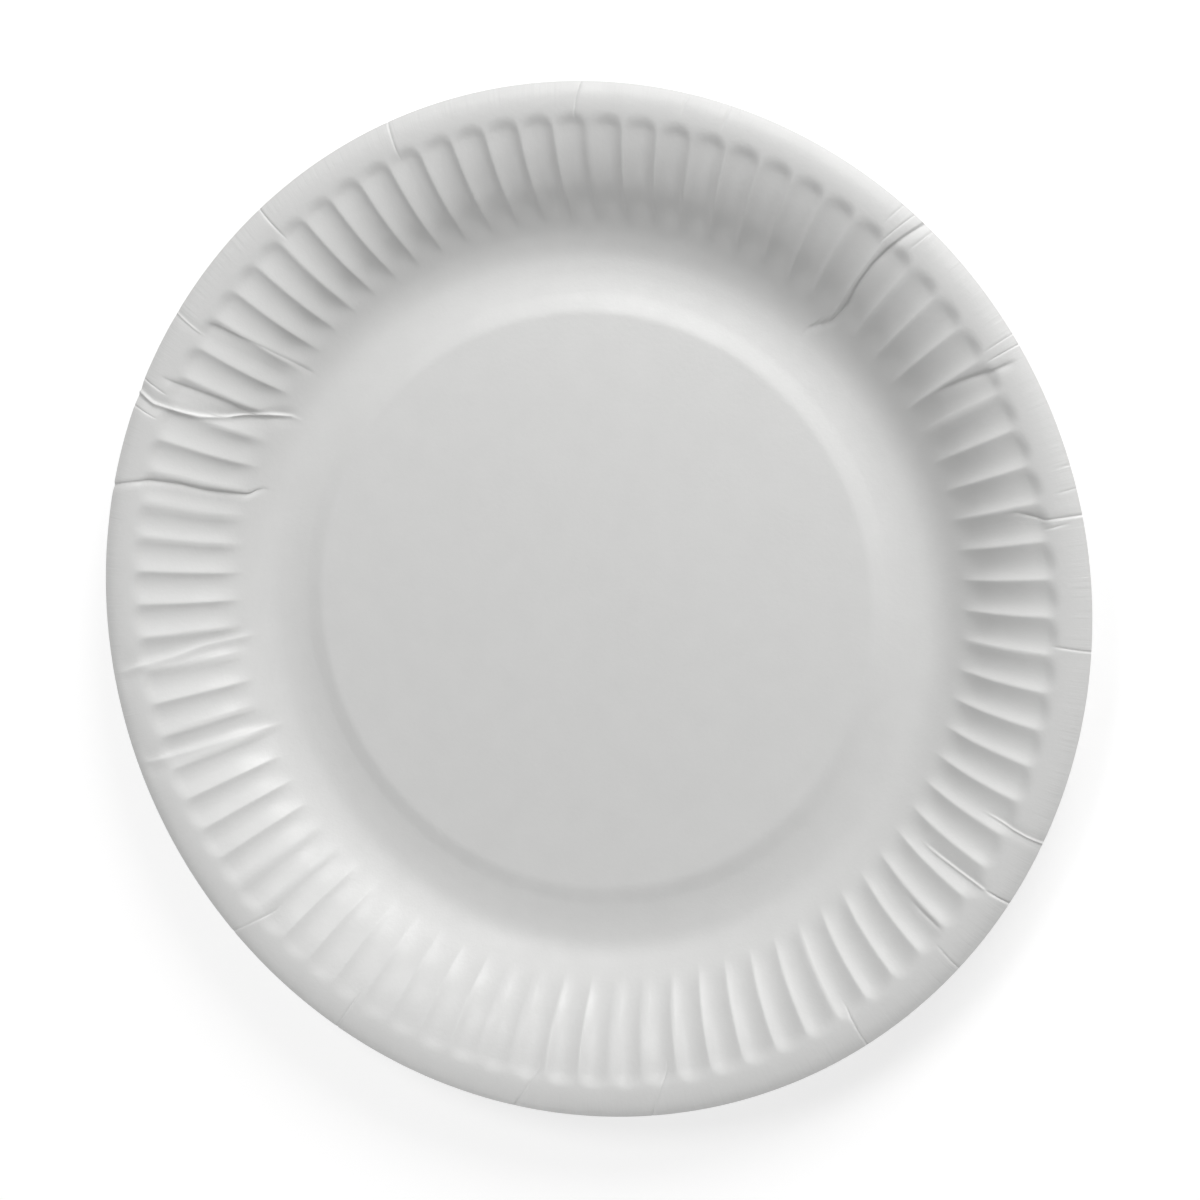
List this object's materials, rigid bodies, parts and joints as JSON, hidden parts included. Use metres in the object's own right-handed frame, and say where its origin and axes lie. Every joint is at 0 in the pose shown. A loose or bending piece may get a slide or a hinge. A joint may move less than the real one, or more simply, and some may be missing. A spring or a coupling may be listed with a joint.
{
  "type": "paper plate",
  "caption": "Round paper plate pressed from one sheet of white coated board, with a flat middle, a fluted wall and a rolled lip.",
  "frame": {"origin": "middle of the plate, on the table that its foot ring stands on", "axes": "+Z is the plate's axis of symmetry and points up, out of the well"},
  "size_m": [0.23, 0.23, 0.0166],
  "materials": {
    "paperboard": "satin"
  },
  "bodies": {
    "root": {"plate": "paperboard"}
  },
  "joints": []
}
